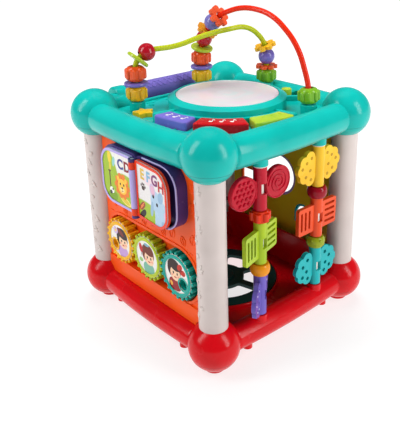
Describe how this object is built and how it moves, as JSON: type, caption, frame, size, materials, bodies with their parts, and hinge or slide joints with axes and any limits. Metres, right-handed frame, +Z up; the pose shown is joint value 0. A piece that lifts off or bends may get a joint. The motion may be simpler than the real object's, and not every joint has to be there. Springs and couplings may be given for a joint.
{
  "type": "baby activity cube",
  "caption": "Play cube on four posts: drum and keys on top, bead wires, a page book and meshing gears in front, spinners on rods, a shape sorter side, carry handle.",
  "frame": {"origin": "middle of the footprint, on the floor", "axes": "+Z up; -Y towards the book and gear side; +X towards the open side with the spinner rods"},
  "size_m": [0.1925, 0.19, 0.2598],
  "materials": {
    "teal": "moulded, satin gloss",
    "red": "moulded, satin gloss",
    "orange": "moulded, satin gloss",
    "white": "moulded, satin gloss",
    "lime": "moulded, satin gloss",
    "dark_green": "moulded, satin gloss",
    "purple": "moulded, satin gloss",
    "key_red": "moulded, satin gloss",
    "key_green": "moulded, satin gloss",
    "yellow": "moulded, satin gloss",
    "drum_white": "moulded, satin gloss",
    "wire_lime": "coated steel wire",
    "wire_red": "coated steel wire",
    "rod_white": "moulded, satin gloss",
    "crimson": "moulded, satin gloss",
    "turquoise": "moulded, satin gloss",
    "book_purple": "moulded, satin gloss",
    "leaf_purple": "moulded, satin gloss",
    "leaf_red": "moulded, satin gloss",
    "steel": "turned",
    "board_green": "circuit board",
    "black": "moulded",
    "cell_wrap": "shrink wrap",
    "bead_orange": "moulded, satin gloss",
    "bead_green": "moulded, satin gloss",
    "olive": "moulded, satin gloss",
    "amber": "moulded, satin gloss",
    "blue": "moulded, satin gloss"
  },
  "bodies": {
    "casing": {"top_cover": "teal", "top_tray": "teal", "base_shell": "red", "base_cover": "red", "corner_posts": "white", "front_panel": "orange", "sorter_panel": "lime", "closed_panel": "blue", "floor_grille": "dark_green", "book_base": "book_purple", "book_pin": "steel", "carry_handle": "purple", "spinner_rods": "rod_white", "wire_green": "wire_lime", "wire_red": "wire_red", "circuit_board": "board_green", "speaker": "black", "battery_cells": "cell_wrap", "battery_door": "teal", "screws": "steel"},
    "drum_head_body": {"drum_head": "drum_white"},
    "key_purple_body": {"key_purple": "purple"},
    "key_red_body": {"key_red": "key_red"},
    "key_green_body": {"key_green": "key_green"},
    "star_button_body": {"star_button": "yellow"},
    "switch_knob_body": {"switch_knob": "key_green"},
    "gear_left_body": {"gear_left": "yellow"},
    "gear_middle_body": {"gear_middle": "lime"},
    "gear_right_body": {"gear_right": "teal"},
    "page_left_body": {"page_left": "leaf_purple"},
    "page_right_body": {"page_right": "leaf_red"},
    "spinner_crimson_body": {"spinner_crimson": "crimson"},
    "spinner_lime_body": {"spinner_lime": "lime"},
    "spinner_purple_body": {"spinner_purple": "purple"},
    "rod_bead_flower_body": {"rod_bead_flower": "bead_orange"},
    "rod_bead_amber_body": {"rod_bead_amber": "amber"},
    "spinner_yellow_body": {"spinner_yellow": "yellow"},
    "spinner_orange_body": {"spinner_orange": "bead_orange"},
    "spinner_turquoise_body": {"spinner_turquoise": "turquoise"},
    "rod_bead_red_body": {"rod_bead_red": "crimson"},
    "rod_bead_olive_body": {"rod_bead_olive": "olive"},
    "bead_far_green_body": {"bead_far_green": "bead_green"},
    "bead_far_orange_body": {"bead_far_orange": "bead_orange"},
    "bead_far_purple_body": {"bead_far_purple": "purple"},
    "bead_far_yellow_body": {"bead_far_yellow": "yellow"},
    "bead_left_lime_body": {"bead_left_lime": "lime"},
    "bead_left_orange_body": {"bead_left_orange": "bead_orange"},
    "bead_left_purple_body": {"bead_left_purple": "purple"},
    "bead_left_red_body": {"bead_left_red": "crimson"},
    "bead_left_yellow_body": {"bead_left_yellow": "yellow"},
    "bead_rear_amber_body": {"bead_rear_amber": "yellow"},
    "bead_rear_coral_body": {"bead_rear_coral": "bead_orange"},
    "bead_rear_lime_body": {"bead_rear_lime": "lime"},
    "bead_rear_orange_body": {"bead_rear_orange": "bead_orange"},
    "bead_rear_purple_body": {"bead_rear_purple": "purple"},
    "bead_rear_red_body": {"bead_rear_red": "crimson"},
    "bead_rear_violet_body": {"bead_rear_violet": "purple"},
    "bead_rear_yellow_body": {"bead_rear_yellow": "yellow"},
    "bead_right_green_body": {"bead_right_green": "bead_green"}
  },
  "joints": [
    {"name": "drum_press", "type": "slide", "parent": "casing", "child": "drum_head_body", "axis": [0, 0, -1], "range_m": [0, 0.0015], "stiffness_N_per_m": 900, "springref_m": -0.0008},
    {"name": "key_purple_press", "type": "slide", "parent": "casing", "child": "key_purple_body", "axis": [0, 0, -1], "range_m": [0, 0.003], "stiffness_N_per_m": 300, "springref_m": -0.001},
    {"name": "key_red_press", "type": "slide", "parent": "casing", "child": "key_red_body", "axis": [0, 0, -1], "range_m": [0, 0.003], "stiffness_N_per_m": 300, "springref_m": -0.001},
    {"name": "key_green_press", "type": "slide", "parent": "casing", "child": "key_green_body", "axis": [0, 0, -1], "range_m": [0, 0.003], "stiffness_N_per_m": 300, "springref_m": -0.001},
    {"name": "star_press", "type": "slide", "parent": "casing", "child": "star_button_body", "axis": [0, 0, -1], "range_m": [0, 0.002], "stiffness_N_per_m": 250, "springref_m": -0.001},
    {"name": "switch_slide", "type": "slide", "parent": "casing", "child": "switch_knob_body", "axis": [0.6561, 0.7547, 0], "range_m": [0, 0.007]},
    {"name": "gear_left_spin", "type": "hinge", "parent": "casing", "child": "gear_left_body", "pos_m": [-0.0395, -0.077, 0.0685], "axis": [0, -1, 0], "continuous": true},
    {"name": "gear_middle_spin", "type": "hinge", "parent": "casing", "child": "gear_middle_body", "pos_m": [0, -0.077, 0.0685], "axis": [0, -1, 0], "continuous": true},
    {"name": "gear_right_spin", "type": "hinge", "parent": "casing", "child": "gear_right_body", "pos_m": [0.0395, -0.077, 0.0685], "axis": [0, -1, 0], "continuous": true},
    {"name": "page_left_turn", "type": "hinge", "parent": "casing", "child": "page_left_body", "pos_m": [0.003, -0.091, 0.13], "axis": [0, 0, 1], "range_deg": [0, 160]},
    {"name": "page_right_turn", "type": "hinge", "parent": "casing", "child": "page_right_body", "pos_m": [0.003, -0.091, 0.13], "axis": [0, 0, -1], "range_deg": [-3, 160]},
    {"name": "spinner_crimson_spin", "type": "hinge", "parent": "casing", "child": "spinner_crimson_body", "pos_m": [0.082, -0.0325, 0.096], "axis": [0, 0, 1], "continuous": true},
    {"name": "spinner_lime_spin", "type": "hinge", "parent": "casing", "child": "spinner_lime_body", "pos_m": [0.082, -0.0325, 0.096], "axis": [0, 0, 1], "continuous": true},
    {"name": "spinner_purple_spin", "type": "hinge", "parent": "casing", "child": "spinner_purple_body", "pos_m": [0.082, -0.0325, 0.096], "axis": [0, 0, 1], "continuous": true},
    {"name": "rod_bead_flower_spin", "type": "hinge", "parent": "casing", "child": "rod_bead_flower_body", "pos_m": [0.082, -0.0325, 0.096], "axis": [0, 0, 1], "continuous": true},
    {"name": "rod_bead_amber_spin", "type": "hinge", "parent": "casing", "child": "rod_bead_amber_body", "pos_m": [0.082, -0.0325, 0.096], "axis": [0, 0, 1], "continuous": true},
    {"name": "spinner_yellow_spin", "type": "hinge", "parent": "casing", "child": "spinner_yellow_body", "pos_m": [0.082, 0.0325, 0.096], "axis": [0, 0, 1], "continuous": true},
    {"name": "spinner_orange_spin", "type": "hinge", "parent": "casing", "child": "spinner_orange_body", "pos_m": [0.082, 0.0325, 0.096], "axis": [0, 0, 1], "continuous": true},
    {"name": "spinner_turquoise_spin", "type": "hinge", "parent": "casing", "child": "spinner_turquoise_body", "pos_m": [0.082, 0.0325, 0.096], "axis": [0, 0, 1], "continuous": true},
    {"name": "rod_bead_red_spin", "type": "hinge", "parent": "casing", "child": "rod_bead_red_body", "pos_m": [0.082, 0.0325, 0.096], "axis": [0, 0, 1], "continuous": true},
    {"name": "rod_bead_olive_spin", "type": "hinge", "parent": "casing", "child": "rod_bead_olive_body", "pos_m": [0.082, 0.0325, 0.096], "axis": [0, 0, 1], "continuous": true},
    {"name": "bead_far_green_spin", "type": "hinge", "parent": "casing", "child": "bead_far_green_body", "pos_m": [-0.014, 0.071, 0.1927], "axis": [0, 0, 1], "continuous": true},
    {"name": "bead_far_orange_spin", "type": "hinge", "parent": "casing", "child": "bead_far_orange_body", "pos_m": [-0.014, 0.071, 0.2009], "axis": [0, 0, 1], "continuous": true},
    {"name": "bead_far_purple_spin", "type": "hinge", "parent": "casing", "child": "bead_far_purple_body", "pos_m": [-0.014, 0.071, 0.21], "axis": [0, 0, 1], "continuous": true},
    {"name": "bead_far_yellow_spin", "type": "hinge", "parent": "casing", "child": "bead_far_yellow_body", "pos_m": [-0.0144, 0.0695, 0.2194], "axis": [-0.086, -0.324, 0.9421], "continuous": true},
    {"name": "bead_left_lime_spin", "type": "hinge", "parent": "casing", "child": "bead_left_lime_body", "pos_m": [-0.04527, -0.04723, 0.2207], "axis": [0.164, 0.6201, 0.7672], "continuous": true},
    {"name": "bead_left_orange_spin", "type": "hinge", "parent": "casing", "child": "bead_left_orange_body", "pos_m": [-0.046, -0.05, 0.2094], "axis": [0, 0, 1], "continuous": true},
    {"name": "bead_left_purple_spin", "type": "hinge", "parent": "casing", "child": "bead_left_purple_body", "pos_m": [-0.046, -0.05, 0.2009], "axis": [0, 0, 1], "continuous": true},
    {"name": "bead_left_red_spin", "type": "hinge", "parent": "casing", "child": "bead_left_red_body", "pos_m": [-0.04323, -0.03953, 0.226], "axis": [0.2371, 0.8974, 0.3722], "continuous": true},
    {"name": "bead_left_yellow_spin", "type": "hinge", "parent": "casing", "child": "bead_left_yellow_body", "pos_m": [-0.046, -0.05, 0.1927], "axis": [0, 0, 1], "continuous": true},
    {"name": "bead_rear_amber_spin", "type": "hinge", "parent": "casing", "child": "bead_rear_amber_body", "pos_m": [-0.04705, 0.03007, 0.235], "axis": [0.5658, 0.067, 0.8218], "continuous": true},
    {"name": "bead_rear_coral_spin", "type": "hinge", "parent": "casing", "child": "bead_rear_coral_body", "pos_m": [-0.0338, 0.03165, 0.2481], "axis": [0.8421, 0.1, 0.53], "continuous": true},
    {"name": "bead_rear_lime_spin", "type": "hinge", "parent": "casing", "child": "bead_rear_lime_body", "pos_m": [-0.0548, 0.02914, 0.2183], "axis": [0.229, 0.027, 0.973], "continuous": true},
    {"name": "bead_rear_orange_spin", "type": "hinge", "parent": "casing", "child": "bead_rear_orange_body", "pos_m": [-0.05598, 0.029, 0.2092], "axis": [0.027, 0.003, 0.9996], "continuous": true},
    {"name": "bead_rear_purple_spin", "type": "hinge", "parent": "casing", "child": "bead_rear_purple_body", "pos_m": [-0.056, 0.029, 0.2009], "axis": [0, 0, 1], "continuous": true},
    {"name": "bead_rear_red_spin", "type": "hinge", "parent": "casing", "child": "bead_rear_red_body", "pos_m": [-0.05179, 0.0295, 0.227], "axis": [0.4209, 0.05, 0.9057], "continuous": true},
    {"name": "bead_rear_violet_spin", "type": "hinge", "parent": "casing", "child": "bead_rear_violet_body", "pos_m": [-0.04097, 0.03079, 0.24243], "axis": [0.712, 0.085, 0.697], "continuous": true},
    {"name": "bead_rear_yellow_spin", "type": "hinge", "parent": "casing", "child": "bead_rear_yellow_body", "pos_m": [-0.056, 0.029, 0.1927], "axis": [0, 0, 1], "continuous": true},
    {"name": "bead_right_green_slide", "type": "slide", "parent": "casing", "child": "bead_right_green_body", "axis": [0, 0, 1], "range_m": [0, 0.005]}
  ],
  "couplings": [
    {"joint": "gear_left_spin", "follows": "gear_middle_spin", "ratio": -1},
    {"joint": "gear_right_spin", "follows": "gear_middle_spin", "ratio": -1}
  ]
}
